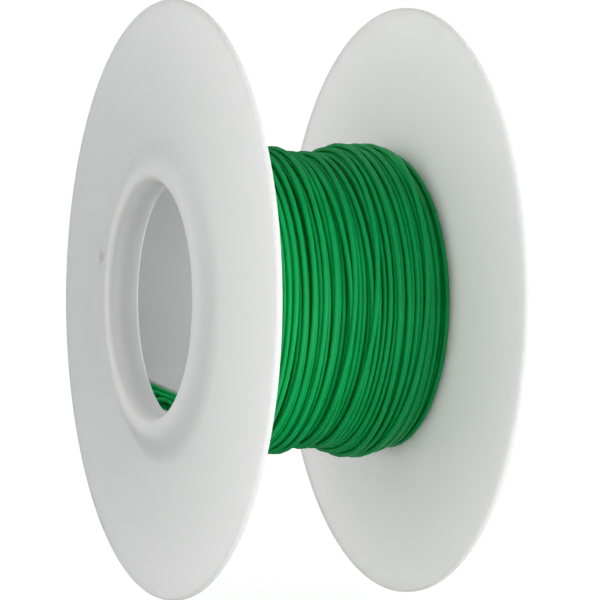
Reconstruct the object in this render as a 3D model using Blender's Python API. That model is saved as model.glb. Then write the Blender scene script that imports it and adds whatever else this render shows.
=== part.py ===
"""Small wire spool: two moulded flanges pushed onto a thin core, wound with fine hook-up wire.

The spool's axis is +Y and its centre is the origin, so it stands on both rims with +Z up.
The flange at -Y and the flange at +Y are the same moulding, one turned to face the other.
Lengths are in metres.
"""

import math

import bmesh
import bpy
from mathutils import Matrix, Vector

# Flanges
FLANGE_RADIUS = 0.0285
FLANGE_OUTER_FACE = 0.01254
RIM_THICKNESS = 0.00085
RIM_ROUND = 0.00025
HUB_THICKNESS = 0.00134
BORE_RADIUS = 0.0113
COLLAR_HEIGHT = 0.00136
COLLAR_ROUND = 0.00075
CREST_WIDTH = 0.0003
COLLAR_SLOPE = 0.0034
SPIGOT_WALL = 0.0004
SPIGOT_LENGTH = 0.00046
SPIGOT_CHAMFER = 0.00015

# Hole that takes the wire's outer end
TUCK_HOLE_RADIUS = 0.00065
TUCK_HOLE_FROM_BORE = 0.0067
TUCK_HOLE_ANGLE = math.radians(166.5)

# Core tube and its starting notch, a slanted slot cut straight in along one direction
CORE_WALL = 0.0005
GROOVE_DEPTH = 0.0013
NOTCH_ANGLE = math.radians(255.0)
NOTCH_DEPTH = 0.0067
NOTCH_WIDTH = 0.0036
NOTCH_SLANT = math.radians(31.6)
NOTCH_OFFSET = 0.0039

# Wire, and the winding's depth at shares of its half width, from the -Y end to the +Y end
WIRE_DIAMETER = 0.0005
WIRE_BEND_RADIUS = 0.0011
WINDING_CROWN = (
    (-1.00, 0.00110),
    (-0.93, 0.00180),
    (-0.14, 0.00190),
    (0.13, 0.00125),
    (0.58, 0.00230),
    (0.88, 0.00180),
    (1.00, 0.00110),
)

# Fits
FIT_GAP = 0.0003

# Facets
FLANGE_SEGMENTS = 72
CORE_SEGMENTS = 72
WINDING_SEGMENTS = 48
ARC_STEPS = 4
FALL_STEPS = 10

# Sizes that follow from the ones above
FLANGE_INNER_FACE = FLANGE_OUTER_FACE - HUB_THICKNESS
CREST = FLANGE_OUTER_FACE + COLLAR_HEIGHT
CREST_INNER_RADIUS = BORE_RADIUS + COLLAR_ROUND
CREST_OUTER_RADIUS = CREST_INNER_RADIUS + CREST_WIDTH
COLLAR_RADIUS = CREST_OUTER_RADIUS + COLLAR_SLOPE
TUCK_HOLE_PITCH = BORE_RADIUS + TUCK_HOLE_FROM_BORE
SPIGOT_RADIUS = BORE_RADIUS + SPIGOT_WALL
SPIGOT_TIP = FLANGE_INNER_FACE - SPIGOT_LENGTH
CORE_INNER_RADIUS = SPIGOT_RADIUS + FIT_GAP
CORE_OUTER_RADIUS = CORE_INNER_RADIUS + CORE_WALL
GROOVE_OUTER_RADIUS = CORE_OUTER_RADIUS + FIT_GAP
GROOVE_FLOOR = FLANGE_INNER_FACE + GROOVE_DEPTH
CORE_END = GROOVE_FLOOR - FIT_GAP
WINDING_INNER_RADIUS = CORE_OUTER_RADIUS + FIT_GAP
WINDING_END = FLANGE_INNER_FACE - FIT_GAP
WIRE_RADIUS = WIRE_DIAMETER / 2


def clear_scene():
    """Start from an empty scene."""
    for item in list(bpy.data.objects):
        bpy.data.objects.remove(item, do_unlink=True)


def plastic(name, colour, roughness, metallic=0.0):
    """A plain Principled material."""
    material = bpy.data.materials.new(name)
    material.use_nodes = True
    shader = material.node_tree.nodes["Principled BSDF"]
    shader.inputs["Base Color"].default_value = (*colour, 1.0)
    shader.inputs["Roughness"].default_value = roughness
    shader.inputs["Metallic"].default_value = metallic
    return material


def polar(radius, angle, along):
    """A point at a radius and an angle about the spool's axis, that far along it."""
    return Vector((radius * math.cos(angle), along, radius * math.sin(angle)))


def arc(centre, radii, start, end, steps=ARC_STEPS):
    """Points of an elliptical arc, given by its centre, two radii and end angles in degrees."""
    points = []
    for step in range(steps + 1):
        angle = math.radians(start + (end - start) * step / steps)
        points.append((centre[0] + radii[0] * math.cos(angle), centre[1] + radii[1] * math.sin(angle)))
    return points


def soft_fall(start, end, steps=FALL_STEPS):
    """Points of an S-shaped fall that starts and ends level."""
    points = []
    for step in range(steps + 1):
        share = step / steps
        drop = (1.0 - math.cos(math.pi * share)) / 2.0
        points.append((start[0] + (end[0] - start[0]) * share, start[1] + (end[1] - start[1]) * drop))
    return points


def add_object(name, mesh, material):
    """Link a mesh into the scene under its node name."""
    item = bpy.data.objects.new(name, mesh)
    bpy.context.scene.collection.objects.link(item)
    if material is not None:
        mesh.materials.append(material)
    return item


def turned(name, profile, segments, material):
    """Spin a closed outline of (radius, along the axis) points once round the Y axis.

    The first facet is centred at the bottom, so that a rim stands on a flat.
    """
    shape = bmesh.new()
    first = math.radians(-90.0) + math.pi / segments
    ring = [shape.verts.new(polar(radius, first, along)) for radius, along in profile]
    edges = [shape.edges.new((ring[i - 1], ring[i])) for i in range(len(ring))]
    bmesh.ops.spin(
        shape,
        geom=ring + edges,
        cent=(0.0, 0.0, 0.0),
        axis=(0.0, 1.0, 0.0),
        angle=math.tau,
        steps=segments,
        use_merge=True,
    )
    bmesh.ops.recalc_face_normals(shape, faces=shape.faces)
    mesh = bpy.data.meshes.new(name)
    shape.to_mesh(mesh)
    shape.free()
    mesh.shade_smooth()
    mesh.set_sharp_from_angle(angle=math.radians(35.0))
    return add_object(name, mesh, material)


def cutter(name, mesh):
    """A tool shape that cuts another piece and isn't built itself."""
    item = add_object(name, mesh, None)
    item.hide_render = True
    item.display_type = "WIRE"
    return item


def cut(item, tool):
    """Take a tool shape out of a piece."""
    boolean = item.modifiers.new("cut_" + tool.name, "BOOLEAN")
    boolean.operation = "DIFFERENCE"
    boolean.solver = "EXACT"
    boolean.object = tool


def flange_profile():
    """Half section of one flange, as radius and distance outward from the spool's middle."""
    bore_round = (CREST_INNER_RADIUS, CREST - COLLAR_ROUND)
    rim_top = (FLANGE_RADIUS - RIM_ROUND, FLANGE_OUTER_FACE - RIM_ROUND)
    rim_bottom = (FLANGE_RADIUS - RIM_ROUND, FLANGE_OUTER_FACE - RIM_THICKNESS + RIM_ROUND)
    rim_round = (RIM_ROUND, RIM_ROUND)
    outline = [(BORE_RADIUS + SPIGOT_CHAMFER, SPIGOT_TIP), (BORE_RADIUS, SPIGOT_TIP + SPIGOT_CHAMFER)]
    outline += arc(bore_round, (COLLAR_ROUND, COLLAR_ROUND), 180, 90)
    outline += soft_fall((CREST_OUTER_RADIUS, CREST), (COLLAR_RADIUS, FLANGE_OUTER_FACE))
    outline += arc(rim_top, rim_round, 90, 0, steps=2)
    outline += arc(rim_bottom, rim_round, 0, -90, steps=2)
    outline += [(GROOVE_OUTER_RADIUS, FLANGE_INNER_FACE), (GROOVE_OUTER_RADIUS, GROOVE_FLOOR)]
    outline += [(SPIGOT_RADIUS, GROOVE_FLOOR), (SPIGOT_RADIUS, SPIGOT_TIP)]
    return outline


def make_tuck_hole_cutter(name, side):
    """Pin that drills the small hole for the wire's outer end."""
    length = 2.0 * (HUB_THICKNESS + RIM_THICKNESS)
    middle = side * (FLANGE_OUTER_FACE - RIM_THICKNESS / 2)
    shape = bmesh.new()
    bmesh.ops.create_cone(
        shape,
        cap_ends=True,
        segments=16,
        radius1=TUCK_HOLE_RADIUS,
        radius2=TUCK_HOLE_RADIUS,
        depth=length,
        matrix=Matrix.Translation(polar(TUCK_HOLE_PITCH, TUCK_HOLE_ANGLE, middle))
        @ Matrix.Rotation(math.radians(90.0), 4, "X"),
    )
    mesh = bpy.data.meshes.new(name)
    shape.to_mesh(mesh)
    shape.free()
    return cutter(name, mesh)


def make_flange(name, side, material):
    """One flange with its collar, spigot, core groove and tuck hole, on the side given by -1 or 1."""
    profile = [(radius, side * along) for radius, along in flange_profile()]
    flange = turned(name, profile, FLANGE_SEGMENTS, material)
    cut(flange, make_tuck_hole_cutter(name + "_tuck_hole_cutter", side))
    return flange


def notch_point(radius, run, inset):
    """A point of the core's notch: its radius, its run from the core's end along the notch's
    leading edge, and its inset from that edge, both measured as if the core were cut from the side."""
    edge = -NOTCH_OFFSET - NOTCH_DEPTH * math.tan(NOTCH_SLANT)
    across = edge + run * math.sin(NOTCH_SLANT) + inset * math.cos(NOTCH_SLANT)
    from_end = run * math.cos(NOTCH_SLANT) - inset * math.sin(NOTCH_SLANT)
    return polar(radius, NOTCH_ANGLE + math.asin(across / radius), -CORE_END + from_end)


def make_notch_cutter(name):
    """Slanted block that opens the end of the core for the wire's start.

    It points straight out of the axis at the notch's angle, and runs past the core's end.
    """
    overrun = 4 * FIT_GAP
    floor = -CORE_END + NOTCH_DEPTH
    mouth = -CORE_END - overrun
    lean = (floor - mouth) * math.tan(NOTCH_SLANT)
    width = NOTCH_WIDTH / math.cos(NOTCH_SLANT)
    outward = polar(1.0, NOTCH_ANGLE, 0.0)
    across = polar(1.0, NOTCH_ANGLE + math.pi / 2, 0.0)
    along = Vector((0.0, 1.0, 0.0))
    outline = (
        (-NOTCH_OFFSET - lean, mouth),
        (-NOTCH_OFFSET - lean + width, mouth),
        (-NOTCH_OFFSET + width, floor),
        (-NOTCH_OFFSET, floor),
    )
    shape = bmesh.new()
    corners = []
    for distance, position in outline:
        corners.append(shape.verts.new(outward * CORE_INNER_RADIUS / 2 + across * distance + along * position))
    base = shape.faces.new(corners)
    grown = bmesh.ops.extrude_face_region(shape, geom=[base])
    top = [item for item in grown["geom"] if isinstance(item, bmesh.types.BMVert)]
    bmesh.ops.translate(shape, verts=top, vec=outward * CORE_OUTER_RADIUS)
    bmesh.ops.recalc_face_normals(shape, faces=shape.faces)
    mesh = bpy.data.meshes.new(name)
    shape.to_mesh(mesh)
    shape.free()
    return cutter(name, mesh)


def make_core(material):
    """Thin tube between the flanges; its ends sit in their grooves, round their spigots."""
    profile = [
        (CORE_INNER_RADIUS, -CORE_END),
        (CORE_INNER_RADIUS, CORE_END),
        (CORE_OUTER_RADIUS, CORE_END),
        (CORE_OUTER_RADIUS, -CORE_END),
    ]
    core = turned("core", profile, CORE_SEGMENTS, material)
    cut(core, make_notch_cutter("core_notch_cutter"))
    return core


def make_winding(material):
    """The wound wire as one turned ring, crowned where the layers pile up."""
    profile = [(WINDING_INNER_RADIUS + depth, share * WINDING_END) for share, depth in WINDING_CROWN]
    profile += [(WINDING_INNER_RADIUS, WINDING_END), (WINDING_INNER_RADIUS, -WINDING_END)]
    return turned("winding", profile, WINDING_SEGMENTS, material)


def smooth_route(stops, spacing):
    """Evenly spaced points along a smooth curve through the stops."""
    knots = [stops[0]] + list(stops) + [stops[-1]]
    fine = []
    for i in range(1, len(knots) - 2):
        before, start, end, after = knots[i - 1 : i + 3]
        for step in range(24):
            t = step / 24
            fine.append(
                0.5
                * (
                    2 * start
                    + (end - before) * t
                    + (2 * before - 5 * start + 4 * end - after) * t**2
                    + (3 * start - before - 3 * end + after) * t**3
                )
            )
    fine.append(knots[-2])
    lengths = [0.0]
    for i in range(1, len(fine)):
        lengths.append(lengths[-1] + (fine[i] - fine[i - 1]).length)
    count = max(2, round(lengths[-1] / spacing))
    route = []
    segment = 0
    for step in range(count + 1):
        target = lengths[-1] * step / count
        while segment < len(fine) - 2 and lengths[segment + 1] < target:
            segment += 1
        span = lengths[segment + 1] - lengths[segment]
        route.append(fine[segment].lerp(fine[segment + 1], (target - lengths[segment]) / span))
    return route


def make_wire(name, stops, material):
    """A free stretch of wire as a round tube with closed ends."""
    points = smooth_route(stops, 2 * WIRE_DIAMETER)
    curve = bpy.data.curves.new(name, "CURVE")
    curve.dimensions = "3D"
    curve.bevel_depth = WIRE_RADIUS
    curve.bevel_resolution = 2
    curve.use_fill_caps = True
    spline = curve.splines.new("POLY")
    spline.points.add(len(points) - 1)
    for target, point in zip(spline.points, points):
        target.co = (*point, 1.0)
    curve.materials.append(material)
    item = bpy.data.objects.new(name, curve)
    bpy.context.scene.collection.objects.link(item)
    return item


def make_wire_start(material):
    """The wire's first stretch, folded flat in the notch: its tip, two folds, then on to the winding."""
    radius = CORE_INNER_RADIUS + 0.4 * CORE_WALL
    stops = [
        notch_point(radius, 0.00270, 0.00100),
        notch_point(radius, 0.00450, 0.00100),
        notch_point(radius, 0.00580, 0.00100),
        notch_point(radius, 0.00660, 0.00100),
        notch_point(radius, 0.00722, 0.00120),
        notch_point(radius, 0.00760, 0.00173),
        notch_point(radius, 0.00760, 0.00237),
        notch_point(radius, 0.00722, 0.00290),
        notch_point(radius, 0.00660, 0.00310),
        notch_point(radius, 0.00589, 0.00290),
        notch_point(radius, 0.00540, 0.00235),
        notch_point(radius, 0.00491, 0.00180),
        notch_point(radius, 0.00417, 0.00160),
        notch_point(radius, 0.00368, 0.00172),
        notch_point(radius, 0.00330, 0.00205),
        notch_point(radius, 0.00291, 0.00238),
        notch_point(radius, 0.00242, 0.00250),
        notch_point(radius, 0.00180, 0.00230),
        notch_point(radius, 0.00142, 0.00177),
        notch_point(radius, 0.00142, 0.00113),
        notch_point(radius, 0.00180, 0.00060),
        notch_point(radius, 0.00242, 0.00040),
        notch_point(radius, 0.00360, 0.00040),
        notch_point(radius, 0.00490, 0.00040),
        notch_point(radius, 0.00610, 0.00040),
    ]
    return make_wire("wire_start", stops, material)


def make_wire_end(material):
    """The wire's outer end: off the winding, across to the +Y flange's hole and straight out through it."""
    off_winding = WINDING_INNER_RADIUS + WINDING_CROWN[-1][1] + WIRE_DIAMETER + FIT_GAP
    level = FLANGE_INNER_FACE - WIRE_BEND_RADIUS
    reach = TUCK_HOLE_PITCH - off_winding
    turn_in = WIRE_BEND_RADIUS * (1 - math.sin(math.pi / 4))
    stops = [
        polar(off_winding, TUCK_HOLE_ANGLE - math.radians(14.0), level + 0.0004),
        polar(off_winding + 0.24 * reach, TUCK_HOLE_ANGLE - math.radians(9.5), level + 0.00015),
        polar(off_winding + 0.52 * reach, TUCK_HOLE_ANGLE - math.radians(5.5), level),
        polar(TUCK_HOLE_PITCH - 0.74 * WIRE_BEND_RADIUS, TUCK_HOLE_ANGLE - math.radians(2.4), level),
        polar(TUCK_HOLE_PITCH - 0.22 * WIRE_BEND_RADIUS, TUCK_HOLE_ANGLE - math.radians(0.7), level + turn_in),
        polar(TUCK_HOLE_PITCH, TUCK_HOLE_ANGLE, FLANGE_INNER_FACE),
        polar(TUCK_HOLE_PITCH, TUCK_HOLE_ANGLE, FLANGE_OUTER_FACE),
        polar(TUCK_HOLE_PITCH, TUCK_HOLE_ANGLE, CREST - WIRE_RADIUS),
    ]
    return make_wire("wire_end", stops, material)


clear_scene()
flange_white = plastic("flange_white", (0.80, 0.80, 0.79), 0.42)
core_white = plastic("core_white", (0.74, 0.74, 0.73), 0.5)
wire_green = plastic("wire_green", (0.0, 0.30, 0.09), 0.35)
make_core(core_white)
make_flange("flange_front", -1, flange_white)
make_flange("flange_back", 1, flange_white)
make_winding(wire_green)
make_wire_start(wire_green)
make_wire_end(wire_green)
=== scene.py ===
import math

import bmesh
import bpy
import numpy as np
from mathutils import Matrix, Vector


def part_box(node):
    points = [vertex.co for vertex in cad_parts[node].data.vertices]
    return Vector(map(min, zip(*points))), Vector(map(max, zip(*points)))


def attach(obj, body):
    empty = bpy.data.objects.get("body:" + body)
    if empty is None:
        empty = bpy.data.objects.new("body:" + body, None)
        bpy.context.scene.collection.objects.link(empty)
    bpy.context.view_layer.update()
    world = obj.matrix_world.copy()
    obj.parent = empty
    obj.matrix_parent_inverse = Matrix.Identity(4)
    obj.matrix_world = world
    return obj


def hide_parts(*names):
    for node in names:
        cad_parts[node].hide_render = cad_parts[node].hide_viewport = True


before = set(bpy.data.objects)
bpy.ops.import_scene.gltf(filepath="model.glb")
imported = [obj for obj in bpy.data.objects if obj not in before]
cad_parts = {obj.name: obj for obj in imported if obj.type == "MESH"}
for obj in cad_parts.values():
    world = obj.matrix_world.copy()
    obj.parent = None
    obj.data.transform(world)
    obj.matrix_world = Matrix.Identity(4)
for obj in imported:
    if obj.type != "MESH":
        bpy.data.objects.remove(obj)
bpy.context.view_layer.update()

# ---------------------------------------------------------------------------
# Camera: level with the spool's axis and well back, so that both flanges show
# as upright ovals, the near one's outside and the far one's inside.
VIEW_AZIMUTH = math.radians(67.65)
VIEW_DISTANCE = 0.3204
VIEW_LENS = 199.1
VIEW_AIM_ALONG = 0.00163


def placed(name, data):
    """A new object in the scene."""
    made = bpy.data.objects.new(name, data)
    bpy.context.scene.collection.objects.link(made)
    return made


across_view = Vector((math.cos(VIEW_AZIMUTH), math.sin(VIEW_AZIMUTH), 0.0))
towards_view = Vector((math.sin(VIEW_AZIMUTH), -math.cos(VIEW_AZIMUTH), 0.0))
camera_data = bpy.data.cameras.new("camera")
camera_data.lens = VIEW_LENS
camera_data.clip_start = 0.01
camera = placed("camera", camera_data)
camera.location = towards_view * VIEW_DISTANCE
camera.rotation_mode = "QUATERNION"
camera.rotation_quaternion = (camera.location - across_view * VIEW_AIM_ALONG).to_track_quat("Z", "Y")
bpy.context.scene.camera = camera

# ---------------------------------------------------------------------------
# Wire: one length of solid copper wire-wrap wire in a thin green fluoropolymer jacket.
# Its start is folded in the core's notch, it is wound on in uneven sweeps that settle
# into the turns below, and its outer end goes out through the back flange's small hole.
WIRE_DIAMETER = 0.0005
CORE_RADIUS = 0.0125
CORE_BORE_RADIUS = 0.0120
CORE_END = 0.0122
NOTCH_ANGLE = math.radians(255.0)
NOTCH_DEPTH = 0.0067
NOTCH_SLANT = math.radians(31.6)
NOTCH_OFFSET = 0.0039
TUCK_HOLE_ANGLE = math.radians(166.5)
TUCK_HOLE_PITCH = 0.0180
FLANGE_OUTER_FACE = 0.01254
FLANGE_INNER_FACE = 0.0112
WIRE_BEND_RADIUS = 0.0011
STEPS_PER_TURN = 48
CURVE_STEP = 0.04
LAST_STEP = 35
WINDING_LIMIT = 0.01085
FIRST_TURN_AT = -0.0060
FIRST_ANGLE = math.radians(247.5)

# How far the guiding hand drifts off its sweep, and how many turns each drift takes.
HAND_SEED = 30
HAND_DRIFTS = ((0.00012, 0.45), (0.00012, 1.7))
# How far a step of wire may slide to a lower seat, the places it tries, and what holds it back.
SLIDE_REACH = 0.00010
SLIDE_TRIES = 15
SLIDE_DRAG = 0.6
SETTLED_OVER = 2
GUIDE_PULL = 0.00008
GUIDE_SLACK = 0.00022

# Each sweep of the winding guide: how far along the axis it goes, and its advance per turn.
GUIDE_SWEEPS = (
    (-0.01070, 0.00110),
    (0.01075, 0.00053),
    (-0.01075, 0.00054),
    (0.01060, 0.00054),
    (0.00330, 0.00056),
    (0.00020, 0.00200),
    (-0.01040, 0.00078),
    (-0.00080, 0.00095),
    (0.00420, 0.00240),
    (0.00860, 0.00060),
    (0.00560, 0.00080),
    (0.01040, 0.00320),
    (0.01050, 0.00010),
)


def polar(radius, angle, along):
    """A point at a radius and an angle about the spool's axis, that far along it."""
    return Vector((radius * math.cos(angle), along, radius * math.sin(angle)))


def notch_point(radius, run, inset):
    """A point in the core's notch: its run from the core's end along the notch's leading edge, and its
    inset from that edge, both measured as if the notch were looked at straight on."""
    edge = -NOTCH_OFFSET - NOTCH_DEPTH * math.tan(NOTCH_SLANT)
    across = edge + run * math.sin(NOTCH_SLANT) + inset * math.cos(NOTCH_SLANT)
    from_end = run * math.cos(NOTCH_SLANT) - inset * math.sin(NOTCH_SLANT)
    return polar(radius, NOTCH_ANGLE + math.asin(across / radius), -CORE_END + from_end)


def drift(rng, count, size, turns):
    """A slow random drift of the hand along the winding, with a new target every so many turns."""
    knots = rng.normal(0.0, size, int(count / (STEPS_PER_TURN * turns)) + 3)
    return np.interp(np.arange(count) / (STEPS_PER_TURN * turns), np.arange(len(knots)), knots)


def eased(values, width):
    """The values with their corners rounded off."""
    offsets = np.arange(-3 * width, 3 * width + 1)
    weights = np.exp(-0.5 * (offsets / width) ** 2)
    return np.convolve(np.pad(values, 3 * width, mode="edge"), weights / weights.sum(), "valid")


def guide_path():
    """Where the winding guide stands at each step, before the wire settles."""
    places = [FIRST_TURN_AT]
    for target, advance in GUIDE_SWEEPS:
        start = places[-1]
        count = round(abs(target - start) / advance * STEPS_PER_TURN)
        places += [start + (target - start) * (i + 1) / count for i in range(count)]
    whole_turns = (len(places) - LAST_STEP) // STEPS_PER_TURN
    return np.array(places[: whole_turns * STEPS_PER_TURN + LAST_STEP])


def wound_turns():
    """Lay the wire step by step: each step slides to the lowest seat near the guide, on what is below."""
    rng = np.random.default_rng(HAND_SEED)
    guide = guide_path()
    for size, turns_between in HAND_DRIFTS:
        guide = guide + drift(rng, len(guide), size, turns_between)
    along, radius = np.zeros(len(guide)), np.zeros(len(guide))
    slides = np.linspace(-1.0, 1.0, SLIDE_TRIES) * SLIDE_REACH
    place = guide[0]
    for k in range(len(guide)):
        seats = place + slides + (guide[k] - guide[k - 1] if k else 0.0)
        below = slice(k % STEPS_PER_TURN, k, STEPS_PER_TURN)
        height = np.full(len(seats), CORE_RADIUS + WIRE_DIAMETER / 2)
        if k >= STEPS_PER_TURN:
            aside = seats[:, None] - along[below][None, :]
            lift = np.sqrt(np.maximum(WIRE_DIAMETER**2 - aside**2, 0.0))
            touching = np.where(np.abs(aside) < WIRE_DIAMETER, radius[below][None, :] + lift, 0.0)
            height = np.maximum(height, touching.max(axis=1))
        strain = GUIDE_PULL * ((seats - guide[k]) / GUIDE_SLACK) ** 2 + SLIDE_DRAG * np.abs(slides)
        best = int((height + strain + (np.abs(seats) > WINDING_LIMIT)).argmin())
        place = seats[best]
        along[k], radius[k] = place, height[best]
    return eased(along, SETTLED_OVER), eased(radius, SETTLED_OVER)


def through(stops, spacing):
    """Evenly spaced points on a smooth curve through the stops."""
    knots = [stops[0]] + list(stops) + [stops[-1]]
    fine = []
    for i in range(1, len(knots) - 2):
        before, start, end, after = knots[i - 1 : i + 3]
        for t in np.arange(0.0, 1.0, CURVE_STEP):
            rise = (end - before) * t + (2 * before - 5 * start + 4 * end - after) * t**2
            fine.append(start + 0.5 * (rise + (3 * start - before - 3 * end + after) * t**3))
    fine = np.array(fine + [knots[-2]])
    run = np.concatenate([[0.0], np.cumsum(np.linalg.norm(np.diff(fine, axis=0), axis=1))])
    at = np.linspace(0.0, run[-1], max(2, round(run[-1] / spacing)) + 1)
    points = np.stack([np.interp(at, run, fine[:, k]) for k in range(3)], axis=1)
    softened = np.stack([eased(points[:, k], 1) for k in range(3)], axis=1)
    points[2:-2] = softened[2:-2]
    return points


settled_along, settled_radius = wound_turns()
turn_angle = FIRST_ANGLE + np.arange(len(settled_along)) * math.tau / STEPS_PER_TURN
turns = np.stack(
    [settled_radius * np.cos(turn_angle), settled_along, settled_radius * np.sin(turn_angle)], axis=1
)

# The wire's start, folded flat in the notch: each stop's run and inset, then its climb onto the core.
WIRE_IN_NOTCH_RADIUS = CORE_BORE_RADIUS + 0.0002
FOLD_IN_NOTCH = (
    (0.00270, 0.00100),
    (0.00450, 0.00100),
    (0.00580, 0.00100),
    (0.00660, 0.00100),
    (0.00722, 0.00120),
    (0.00760, 0.00173),
    (0.00760, 0.00237),
    (0.00722, 0.00290),
    (0.00660, 0.00310),
    (0.00589, 0.00290),
    (0.00540, 0.00235),
    (0.00491, 0.00180),
    (0.00417, 0.00160),
    (0.00368, 0.00172),
    (0.00330, 0.00205),
    (0.00291, 0.00238),
    (0.00242, 0.00250),
    (0.00180, 0.00230),
    (0.00142, 0.00177),
    (0.00142, 0.00113),
    (0.00180, 0.00060),
    (0.00242, 0.00040),
    (0.00360, 0.00040),
    (0.00490, 0.00040),
    (0.00610, 0.00040),
)
CLIMB_OUT_OF_NOTCH = (
    (0.00002, 0.00669, 0.00040),
    (0.00005, 0.00743, 0.00060),
    (0.00014, 0.00797, 0.00112),
)
start_stops = [notch_point(WIRE_IN_NOTCH_RADIUS, run, inset) for run, inset in FOLD_IN_NOTCH]
for rise, run, inset in CLIMB_OUT_OF_NOTCH:
    start_stops.append(notch_point(WIRE_IN_NOTCH_RADIUS + rise, run, inset))
start_stops += [Vector(turns[0]), Vector(turns[1])]

# The wire's outer end, which leaves the winding beside the back flange and turns out through its
# small hole: each stop's radius, its angle in degrees before the hole, and its place along the axis.
TAIL_OFF_WINDING = 0.0147
START_SPACING = 0.00018
TAIL_SPACING = 0.0003
tail_reach = TUCK_HOLE_PITCH - TAIL_OFF_WINDING
tail_level = FLANGE_INNER_FACE - WIRE_BEND_RADIUS
turn_in = WIRE_BEND_RADIUS * (1 - math.sin(math.pi / 4))
collar_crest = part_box("flange_back")[1].y
tail = (
    (TAIL_OFF_WINDING, 14.0, tail_level + 0.0004),
    (TAIL_OFF_WINDING + 0.24 * tail_reach, 9.5, tail_level + 0.00015),
    (TAIL_OFF_WINDING + 0.52 * tail_reach, 5.5, tail_level),
    (TUCK_HOLE_PITCH - 0.74 * WIRE_BEND_RADIUS, 2.4, tail_level),
    (TUCK_HOLE_PITCH - 0.22 * WIRE_BEND_RADIUS, 0.7, tail_level + turn_in),
    (TUCK_HOLE_PITCH, 0.0, FLANGE_INNER_FACE),
    (TUCK_HOLE_PITCH, 0.0, FLANGE_OUTER_FACE),
    (TUCK_HOLE_PITCH, 0.0, collar_crest - WIRE_DIAMETER / 2),
)
end_stops = [Vector(turns[-2]), Vector(turns[-1])]
for radius, before, along in tail:
    end_stops.append(polar(radius, TUCK_HOLE_ANGLE - math.radians(before), along))
wire_line = np.concatenate(
    [through(start_stops, START_SPACING)[:-1], turns[2:-2], through(end_stops, TAIL_SPACING)]
)

wire_curve = bpy.data.curves.new("wire", "CURVE")
wire_curve.dimensions = "3D"
wire_curve.bevel_depth = WIRE_DIAMETER / 2
wire_curve.bevel_resolution = 2
wire_curve.use_fill_caps = True
spline = wire_curve.splines.new("POLY")
spline.points.add(len(wire_line) - 1)
spline.points.foreach_set("co", np.column_stack([wire_line, np.ones(len(wire_line))]).ravel())
wire = placed("wire", wire_curve)


def new_material(name, colour, roughness):
    """A Principled material and its node tree."""
    material = bpy.data.materials.new(name)
    material.use_nodes = True
    tree = material.node_tree
    shader = tree.nodes["Principled BSDF"]
    shader.inputs["Base Color"].default_value = (*colour, 1.0)
    shader.inputs["Roughness"].default_value = roughness
    return material, tree, shader


def add_node(tree, kind, inputs=None, **settings):
    """Add a shader node; each input gets an earlier node's output, or a value."""
    made = tree.nodes.new(kind)
    for name, value in settings.items():
        setattr(made, name, value)
    for name, value in (inputs or {}).items():
        if isinstance(value, bpy.types.NodeSocket):
            tree.links.new(value, made.inputs[name])
        else:
            made.inputs[name].default_value = value
    return made


def speckle(tree, place, scale, detail=2.0):
    """Fine noise, its scale in cells per metre."""
    noise = add_node(tree, "ShaderNodeTexNoise", {"Vector": place, "Scale": scale, "Detail": detail})
    return noise.outputs["Fac"]


def spread(tree, value, low, high, start=0.3, end=0.7):
    """Stretch a range of values, unless told otherwise the middle of a noise's, over a new one."""
    ranges = {"Value": value, "From Min": start, "From Max": end, "To Min": low, "To Max": high}
    return add_node(tree, "ShaderNodeMapRange", ranges).outputs["Result"]


def blend_colours(tree, share, first, second):
    """A colour between two, by a share."""
    ends = {"Factor": share, 6: (*first, 1.0), 7: (*second, 1.0)}
    return add_node(tree, "ShaderNodeMix", ends, data_type="RGBA").outputs[2]


def raise_surface(tree, shader, height, depth):
    """Bump a surface by a height from 0 to 1, over a depth in metres."""
    bump = add_node(tree, "ShaderNodeBump", {"Height": height, "Strength": 1.0, "Distance": depth})
    tree.links.new(bump.outputs["Normal"], shader.inputs["Normal"])


def place_in(tree):
    """Each surface point's place in the spool's frame."""
    return add_node(tree, "ShaderNodeTexCoord").outputs["Object"]


def radius_from_axis(tree, place):
    """Distance of a place from the spool's axis."""
    parts = add_node(tree, "ShaderNodeSeparateXYZ", {"Vector": place}).outputs
    flat = add_node(tree, "ShaderNodeCombineXYZ", {"X": parts["X"], "Z": parts["Z"]}).outputs[0]
    return add_node(tree, "ShaderNodeVectorMath", {0: flat}, operation="LENGTH").outputs["Value"]


def drawn_into_rings(tree, place):
    """A place that is the same all the way round the axis, so that noise runs along the turns."""
    along = add_node(tree, "ShaderNodeSeparateXYZ", {"Vector": place}).outputs["Y"]
    return add_node(tree, "ShaderNodeCombineXYZ", {"X": radius_from_axis(tree, place), "Y": along}).outputs[0]


JACKET_GREEN = (0.0, 0.43, 0.10)
JACKET_DEEP = (0.0, 0.41, 0.090)
JACKET_PALE = (0.0, 0.47, 0.115)
BLOTCHES = 260.0
DRAW_STREAKS = 5200.0
DRAW_LINES = 11000.0
DRAW_LINE_DEPTH = 0.000006
JACKET_ROUGHNESS = (0.28, 0.42)
jacket, jacket_tree, jacket_shader = new_material("green_jacket", JACKET_GREEN, 0.34)
jacket_shader.inputs["Specular IOR Level"].default_value = 0.18
jacket_place = place_in(jacket_tree)
along_wire = drawn_into_rings(jacket_tree, jacket_place)
blotches = spread(jacket_tree, speckle(jacket_tree, jacket_place, BLOTCHES, 3.0), 0.0, 1.0)
jacket_green = blend_colours(jacket_tree, blotches, JACKET_DEEP, JACKET_PALE)
jacket_tree.links.new(jacket_green, jacket_shader.inputs["Base Color"])
streaks = spread(jacket_tree, speckle(jacket_tree, along_wire, DRAW_STREAKS), *JACKET_ROUGHNESS)
jacket_tree.links.new(streaks, jacket_shader.inputs["Roughness"])
raise_surface(jacket_tree, jacket_shader, speckle(jacket_tree, along_wire, DRAW_LINES), DRAW_LINE_DEPTH)
wire_curve.materials.append(jacket)
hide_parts("winding", "wire_start", "wire_end")
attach(wire, "wound_core")

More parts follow.
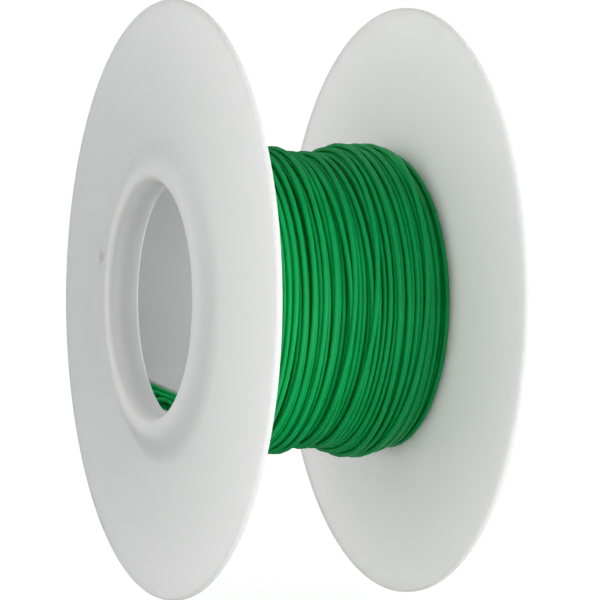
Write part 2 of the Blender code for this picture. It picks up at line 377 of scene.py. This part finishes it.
# The bare copper that shows at both cut ends of the wire: round, then pinched to a chisel by the
# cutters. Each ring of the cut has its share of the cut's length and its share of the full thickness.
CONDUCTOR_RADIUS = 0.000127
CONDUCTOR_SIDES = 20
CUT_LENGTH = 0.00020
INSIDE_JACKET = 0.0008
CRISP_CUT_ABOVE = 50
CUT_RINGS = ((0.3, 1.0), (0.62, 0.86), (0.86, 0.56), (1.0, 0.26))
CUT_SPREAD = 0.2
COPPER = (0.80, 0.38, 0.22)
COPPER_BRIGHT = (0.86, 0.45, 0.28)
COPPER_TARNISHED = (0.62, 0.26, 0.14)
TARNISH_SPOTS = 9000.0
COPPER_ROUGHNESS = (0.22, 0.45)

copper, copper_tree, copper_shader = new_material("bare_copper", COPPER, 0.30)
copper_shader.inputs["Metallic"].default_value = 1.0
tarnish = spread(copper_tree, speckle(copper_tree, place_in(copper_tree), TARNISH_SPOTS, 3.0), 0.0, 1.0)
copper_red = blend_colours(copper_tree, tarnish, COPPER_BRIGHT, COPPER_TARNISHED)
copper_tree.links.new(copper_red, copper_shader.inputs["Base Color"])
copper_roughness = spread(copper_tree, tarnish, *COPPER_ROUGHNESS)
copper_tree.links.new(copper_roughness, copper_shader.inputs["Roughness"])


def mesh_from(name, shape, sharp_above):
    """A finished mesh, smooth except at edges sharper than an angle in degrees."""
    mesh = bpy.data.meshes.new(name)
    shape.to_mesh(mesh)
    shape.free()
    mesh.shade_smooth()
    mesh.set_sharp_from_angle(angle=math.radians(sharp_above))
    return mesh


def cut_conductor(name, tip, outward):
    """The copper at one cut end of the wire."""
    shape = bmesh.new()
    from_tip = Matrix.Translation(tip) @ outward.to_track_quat("Z", "Y").to_matrix().to_4x4()
    rings = []
    cut_rings = [(share * CUT_LENGTH, squeeze) for share, squeeze in CUT_RINGS]
    for level, squeeze in [(-INSIDE_JACKET, 1.0)] + cut_rings:
        width = CONDUCTOR_RADIUS * (1.0 + CUT_SPREAD * (1.0 - squeeze))
        ring = []
        for step in range(CONDUCTOR_SIDES):
            turn = math.tau * step / CONDUCTOR_SIDES
            across = Vector((math.cos(turn) * width, math.sin(turn) * CONDUCTOR_RADIUS * squeeze, level))
            ring.append(shape.verts.new(from_tip @ across))
        rings.append(ring)
    for lower, upper in zip(rings, rings[1:]):
        for step in range(CONDUCTOR_SIDES):
            shape.faces.new((lower[step - 1], lower[step], upper[step], upper[step - 1]))
    shape.faces.new(rings[0][::-1])
    shape.faces.new(rings[-1])
    bmesh.ops.recalc_face_normals(shape, faces=shape.faces)
    end = placed(name, mesh_from(name, shape, CRISP_CUT_ABOVE))
    end.data.materials.append(copper)
    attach(end, "wound_core")
    return end


start_tip, outer_tip = Vector(wire_line[0]), Vector(wire_line[-1])
start_outward = (start_tip - Vector(wire_line[1])).normalized()
outer_outward = (outer_tip - Vector(wire_line[-2])).normalized()
start_conductor = cut_conductor("start_conductor", start_tip, start_outward)
outer_conductor = cut_conductor("outer_conductor", outer_tip, outer_outward)

# ---------------------------------------------------------------------------
# Core: a thin moulded white plastic tube that the wire is wound on. Its ends sit in grooves
# in the flanges, and its front end has a slanted notch where the wire's start is caught.
CORE_SEGMENTS = 192
NOTCH_WIDTH = 0.0036
NOTCH_TOOL_FROM = 0.006
NOTCH_TOOL_LENGTH = 0.010
PAST_CORE_END = 0.001
EDGE_ROUND = 0.00012
EDGE_STEPS = 3
CRISP_EDGE_ABOVE = 40
CORE_WHITE = (0.90, 0.90, 0.89)
GLOW_BY_COLOUR = (1.0, 0.97, 0.92)
CORE_GLOW_DEPTH = 0.0014
CORE_RINGS = 2600.0
CORE_ROUGHNESS = (0.38, 0.52)
CORE_PEEL = 3200.0
CORE_PEEL_DEPTH = 0.000012


def corner(centre, radii, start, end, steps):
    """Points round a corner of an outline, from one angle to another in degrees."""
    points = []
    for step in range(steps + 1):
        angle = math.radians(start + (end - start) * step / steps)
        points.append((centre[0] + radii[0] * math.cos(angle), centre[1] + radii[1] * math.sin(angle)))
    return points


def turned(name, outline, segments):
    """Spin a closed outline of (radius, along the axis) once round the spool's axis."""
    shape = bmesh.new()
    ring = [shape.verts.new(polar(radius, 0.0, along)) for radius, along in outline]
    sides = [shape.edges.new((ring[i - 1], ring[i])) for i in range(len(ring))]
    bmesh.ops.spin(
        shape,
        geom=ring + sides,
        cent=(0, 0, 0),
        axis=(0, 1, 0),
        angle=math.tau,
        steps=segments,
        use_merge=True,
    )
    bmesh.ops.recalc_face_normals(shape, faces=shape.faces)
    return placed(name, mesh_from(name, shape, CRISP_EDGE_ABOVE))


def cut_out(piece, tool):
    """Take a tool shape out of a piece for good, and drop the tool."""
    boolean = piece.modifiers.new("cut", "BOOLEAN")
    boolean.operation = "DIFFERENCE"
    boolean.solver = "EXACT"
    boolean.object = tool
    cut_mesh = bpy.data.meshes.new_from_object(piece.evaluated_get(bpy.context.evaluated_depsgraph_get()))
    piece.modifiers.clear()
    piece.data = cut_mesh
    cut_mesh.shade_smooth()
    cut_mesh.set_sharp_from_angle(angle=math.radians(CRISP_EDGE_ABOVE))
    bpy.data.objects.remove(tool)


def moulded_in(piece, plastic):
    """Give a piece one material all over."""
    piece.data.materials.clear()
    piece.data.materials.append(plastic)


def glow_through(shader, colour_share):
    """Let light soak through a thin milky plastic wall."""
    shader.inputs["Subsurface Weight"].default_value = 1.0
    shader.inputs["Subsurface Radius"].default_value = colour_share


def notch_tool():
    """Slanted block through one wall of the core, running out past the core's end."""
    floor = -CORE_END + NOTCH_DEPTH
    mouth = -CORE_END - PAST_CORE_END
    lean = (floor - mouth) * math.tan(NOTCH_SLANT)
    width = NOTCH_WIDTH / math.cos(NOTCH_SLANT)
    outward = polar(1.0, NOTCH_ANGLE, 0.0)
    aside = polar(1.0, NOTCH_ANGLE + math.pi / 2, 0.0)
    outline = (
        (-NOTCH_OFFSET - lean, mouth),
        (-NOTCH_OFFSET - lean + width, mouth),
        (-NOTCH_OFFSET + width, floor),
        (-NOTCH_OFFSET, floor),
    )
    shape = bmesh.new()
    foot = []
    for distance, along in outline:
        foot.append(shape.verts.new(outward * NOTCH_TOOL_FROM + aside * distance + Vector((0, along, 0))))
    grown = bmesh.ops.extrude_face_region(shape, geom=[shape.faces.new(foot)])
    top = [item for item in grown["geom"] if isinstance(item, bmesh.types.BMVert)]
    bmesh.ops.translate(shape, verts=top, vec=outward * NOTCH_TOOL_LENGTH)
    bmesh.ops.recalc_face_normals(shape, faces=shape.faces)
    return placed("notch_tool", mesh_from("notch_tool", shape, CRISP_EDGE_ABOVE))


core_outline = []
edge_rounds = (EDGE_ROUND, EDGE_ROUND)
for side in (-1, 1):
    inner = (CORE_BORE_RADIUS + EDGE_ROUND, side * (CORE_END - EDGE_ROUND))
    outer = (CORE_RADIUS - EDGE_ROUND, side * (CORE_END - EDGE_ROUND))
    if side < 0:
        core_outline += corner(outer, edge_rounds, 0, -90, EDGE_STEPS)
        core_outline += corner(inner, edge_rounds, -90, -180, EDGE_STEPS)
    else:
        core_outline += corner(inner, edge_rounds, 180, 90, EDGE_STEPS)
        core_outline += corner(outer, edge_rounds, 90, 0, EDGE_STEPS)
core = turned("core_tube", core_outline, CORE_SEGMENTS)
cut_out(core, notch_tool())

core_plastic, core_tree, core_shader = new_material("core_plastic", CORE_WHITE, 0.45)
glow_through(core_shader, GLOW_BY_COLOUR)
core_shader.inputs["Subsurface Scale"].default_value = CORE_GLOW_DEPTH
core_place = place_in(core_tree)
rings_round = speckle(core_tree, drawn_into_rings(core_tree, core_place), CORE_RINGS)
core_roughness = spread(core_tree, rings_round, *CORE_ROUGHNESS)
core_tree.links.new(core_roughness, core_shader.inputs["Roughness"])
raise_surface(core_tree, core_shader, speckle(core_tree, core_place, CORE_PEEL), CORE_PEEL_DEPTH)
moulded_in(core, core_plastic)
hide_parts("core")
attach(core, "wound_core")

# ---------------------------------------------------------------------------
# Flanges: the same injection moulding twice, in milky white plastic that lets some light
# through. Each is a thin disc that swells softly to a rounded collar round the bore and,
# inside, has a short spigot and a groove that the core's end is pushed into.
FLANGE_SEGMENTS = 256
FLANGE_RADIUS = 0.0285
RIM_THICKNESS = 0.00085
RIM_ROUND = 0.00025
RIM_STEPS = 6
BORE_RADIUS = 0.0113
CREST_OUTER_RADIUS = 0.01235
COLLAR_RADIUS = 0.01575
COLLAR_ROUND = 0.00075
COLLAR_ROUND_STEPS = 12
CREST = 0.0139
SPIGOT_RADIUS = 0.0117
SPIGOT_TIP = 0.01074
SPIGOT_CHAMFER = 0.00015
GROOVE_RADIUS = 0.0128
GROOVE_FLOOR = 0.0125
TUCK_HOLE_RADIUS = 0.00065
TUCK_HOLE_TOOL_LENGTH = 0.004
TUCK_HOLE_TOOL_AT = 0.012
TUCK_HOLE_SIDES = 40
COLLAR_STEPS = 24
FLANGE_WHITE = (0.93, 0.93, 0.92)
FLANGE_COOL = (0.950, 0.938, 0.946)
FLANGE_WARM = (0.962, 0.950, 0.956)
# How far light soaks into the plastic: little at the bore's lip, where the collar is thick all
# round, and further out in the thin disc.
GLOW_DEPTH_AT_LIP = 0.0010
GLOW_DEPTH_IN_DISC = 0.0040
GLOW_LIP_WIDTH = 0.0006
CLOUDS = 120.0
SATIN_PATCHES = 900.0
SATIN_ROUGHNESS = (0.36, 0.50)
RIM_WEAR_WIDTH = 0.0012
RIM_WEAR = 0.18
RIM_SCUFFS = 1500.0
FLANGE_PEEL = 2400.0
FLANGE_PEEL_DEPTH = 0.000010


def flange_outline(side):
    """Half section of a flange on one side of the spool, from the spigot's tip round to itself."""
    outline = [(BORE_RADIUS + SPIGOT_CHAMFER, SPIGOT_TIP), (BORE_RADIUS, SPIGOT_TIP + SPIGOT_CHAMFER)]
    top = CREST - COLLAR_ROUND
    collar_round, rim_round = (COLLAR_ROUND, COLLAR_ROUND), (RIM_ROUND, RIM_ROUND)
    outline += corner((BORE_RADIUS + COLLAR_ROUND, top), collar_round, 180, 90, COLLAR_ROUND_STEPS)
    for step in range(COLLAR_STEPS + 1):
        share = step / COLLAR_STEPS
        fall = (1.0 + math.cos(math.pi * share)) / 2.0
        radius = CREST_OUTER_RADIUS + (COLLAR_RADIUS - CREST_OUTER_RADIUS) * share
        outline.append((radius, FLANGE_OUTER_FACE + (CREST - FLANGE_OUTER_FACE) * fall))
    rim = FLANGE_RADIUS - RIM_ROUND
    under_rim = FLANGE_OUTER_FACE - RIM_THICKNESS + RIM_ROUND
    outline += corner((rim, FLANGE_OUTER_FACE - RIM_ROUND), rim_round, 90, 0, RIM_STEPS)
    outline += corner((rim, under_rim), rim_round, 0, -90, RIM_STEPS)
    outline += [(GROOVE_RADIUS, FLANGE_INNER_FACE), (GROOVE_RADIUS, GROOVE_FLOOR)]
    outline += [(SPIGOT_RADIUS, GROOVE_FLOOR), (SPIGOT_RADIUS, SPIGOT_TIP)]
    return [(radius, side * along) for radius, along in outline]


def tuck_hole_tool(side):
    """Pin the size of the small hole that the wire's outer end goes through."""
    shape = bmesh.new()
    bmesh.ops.create_cone(
        shape,
        cap_ends=True,
        segments=TUCK_HOLE_SIDES,
        radius1=TUCK_HOLE_RADIUS,
        radius2=TUCK_HOLE_RADIUS,
        depth=TUCK_HOLE_TOOL_LENGTH,
    )
    along_axis = Matrix.Rotation(math.pi / 2, 3, "X")
    bmesh.ops.rotate(shape, verts=shape.verts, cent=(0, 0, 0), matrix=along_axis)
    at_hole = polar(TUCK_HOLE_PITCH, TUCK_HOLE_ANGLE, side * TUCK_HOLE_TOOL_AT)
    bmesh.ops.translate(shape, verts=shape.verts, vec=at_hole)
    return placed("tuck_hole_tool", mesh_from("tuck_hole_tool", shape, CRISP_EDGE_ABOVE))


flange_plastic, flange_tree, flange_shader = new_material("flange_plastic", FLANGE_WHITE, 0.42)
glow_through(flange_shader, GLOW_BY_COLOUR)
flange_place = place_in(flange_tree)
flange_radius = radius_from_axis(flange_tree, flange_place)
lip = BORE_RADIUS + GLOW_LIP_WIDTH
glow_depth = spread(flange_tree, flange_radius, GLOW_DEPTH_AT_LIP, GLOW_DEPTH_IN_DISC, lip, COLLAR_RADIUS)
flange_tree.links.new(glow_depth, flange_shader.inputs["Subsurface Scale"])
clouds = spread(flange_tree, speckle(flange_tree, flange_place, CLOUDS, 3.0), 0.0, 1.0)
flange_white = blend_colours(flange_tree, clouds, FLANGE_COOL, FLANGE_WARM)
flange_tree.links.new(flange_white, flange_shader.inputs["Base Color"])
satin = spread(flange_tree, speckle(flange_tree, flange_place, SATIN_PATCHES, 4.0), *SATIN_ROUGHNESS)
to_rim = spread(flange_tree, flange_radius, 0.0, RIM_WEAR, FLANGE_RADIUS - RIM_WEAR_WIDTH, FLANGE_RADIUS)
scuff = speckle(flange_tree, flange_place, RIM_SCUFFS, 4.0)
rubbed = add_node(flange_tree, "ShaderNodeMath", {0: to_rim, 1: scuff}, operation="MULTIPLY").outputs[0]
worn = add_node(flange_tree, "ShaderNodeMath", {0: satin, 1: rubbed}, operation="ADD").outputs[0]
flange_tree.links.new(worn, flange_shader.inputs["Roughness"])
peel = speckle(flange_tree, flange_place, FLANGE_PEEL, 3.0)
raise_surface(flange_tree, flange_shader, peel, FLANGE_PEEL_DEPTH)
for name, side, body in (("flange_front", -1, "front_flange"), ("flange_back", 1, "back_flange")):
    flange = turned(name + "_moulding", flange_outline(side), FLANGE_SEGMENTS)
    cut_out(flange, tuck_hole_tool(side))
    moulded_in(flange, flange_plastic)
    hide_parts(name)
    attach(flange, body)

# ---------------------------------------------------------------------------
# Floor, backdrop and light: a plain white floor and surround, and wide soft lights, the
# strongest from the spool's far side so that it comes through the thin flanges.
FLOOR_HALF_WIDTH = 2.0
FLOOR_WHITE = 0.22
FLOOR_GLOW = 0.90
BACKDROP_RADIUS = 2.5
BACKDROP_SEGMENTS = 48
LIGHT_SOFTNESS = 4.0
# Each soft light: its share across, towards and above the camera's view, and its strength.
SOFT_LIGHTS = (
    (1.0, 0.0, 0.0, 2.45),
    (1.0, 1.0, 0.0, 1.2),
    (1.0, 1.0, -1.0, 0.6),
    (0.0, 1.0, -1.0, 0.2),
    (-1.0, 0.0, 0.0, 1.4),
    (-1.0, 0.0, 1.0, 0.6),
    (-1.0, 1.0, 1.0, 0.15),
)


def set_up(name, mesh, white, glow):
    """Link a plain white stage piece that is only seen: it throws no light or shade on the spool."""
    material, tree, shader = new_material(name + "_white", (white, white, white), 0.9)
    shader.inputs["Emission Color"].default_value = (1.0, 1.0, 1.0, 1.0)
    shader.inputs["Emission Strength"].default_value = glow
    mesh.materials.append(material)
    piece = placed(name, mesh)
    piece.visible_diffuse = False
    piece.visible_glossy = False
    piece.visible_transmission = False
    piece.visible_volume_scatter = False
    piece.visible_shadow = False
    return piece


floor_corners = []
for x, y in ((-1, -1), (1, -1), (1, 1), (-1, 1)):
    floor_corners.append((x * FLOOR_HALF_WIDTH, y * FLOOR_HALF_WIDTH, 0))
floor_mesh = bpy.data.meshes.new("floor")
floor_mesh.from_pydata(floor_corners, [], [(0, 1, 2, 3)])
floor = set_up("floor", floor_mesh, FLOOR_WHITE, FLOOR_GLOW)
floor.location.z = -FLANGE_RADIUS
backdrop_shape = bmesh.new()
bmesh.ops.create_uvsphere(
    backdrop_shape, u_segments=BACKDROP_SEGMENTS, v_segments=BACKDROP_SEGMENTS // 2, radius=BACKDROP_RADIUS
)
backdrop_mesh = bpy.data.meshes.new("backdrop")
backdrop_shape.to_mesh(backdrop_mesh)
backdrop_shape.free()
set_up("backdrop", backdrop_mesh, 0.0, 1.0)

world = bpy.data.worlds.new("studio")
bpy.context.scene.world = world
world.use_nodes = True
studio = world.node_tree
studio.nodes["Background"].inputs["Color"].default_value = (1.0, 1.0, 1.0, 1.0)
looking = add_node(studio, "ShaderNodeTexCoord").outputs["Generated"]
total = 0.0
for across, towards, above, strength in SOFT_LIGHTS:
    lamp = (across_view * across + towards_view * towards + Vector((0, 0, above))).normalized()
    facing_lamp = add_node(studio, "ShaderNodeVectorMath", {0: looking, 1: lamp}, operation="DOT_PRODUCT")
    facing = facing_lamp.outputs["Value"]
    lit = add_node(studio, "ShaderNodeMath", {0: facing, 1: 0.0}, operation="MAXIMUM").outputs[0]
    soft = add_node(studio, "ShaderNodeMath", {0: lit, 1: LIGHT_SOFTNESS}, operation="POWER").outputs[0]
    added = add_node(studio, "ShaderNodeMath", {0: soft, 1: strength, 2: total}, operation="MULTIPLY_ADD")
    total = added.outputs[0]
studio.links.new(total, studio.nodes["Background"].inputs["Strength"])
bpy.context.scene.view_settings.view_transform = "Standard"
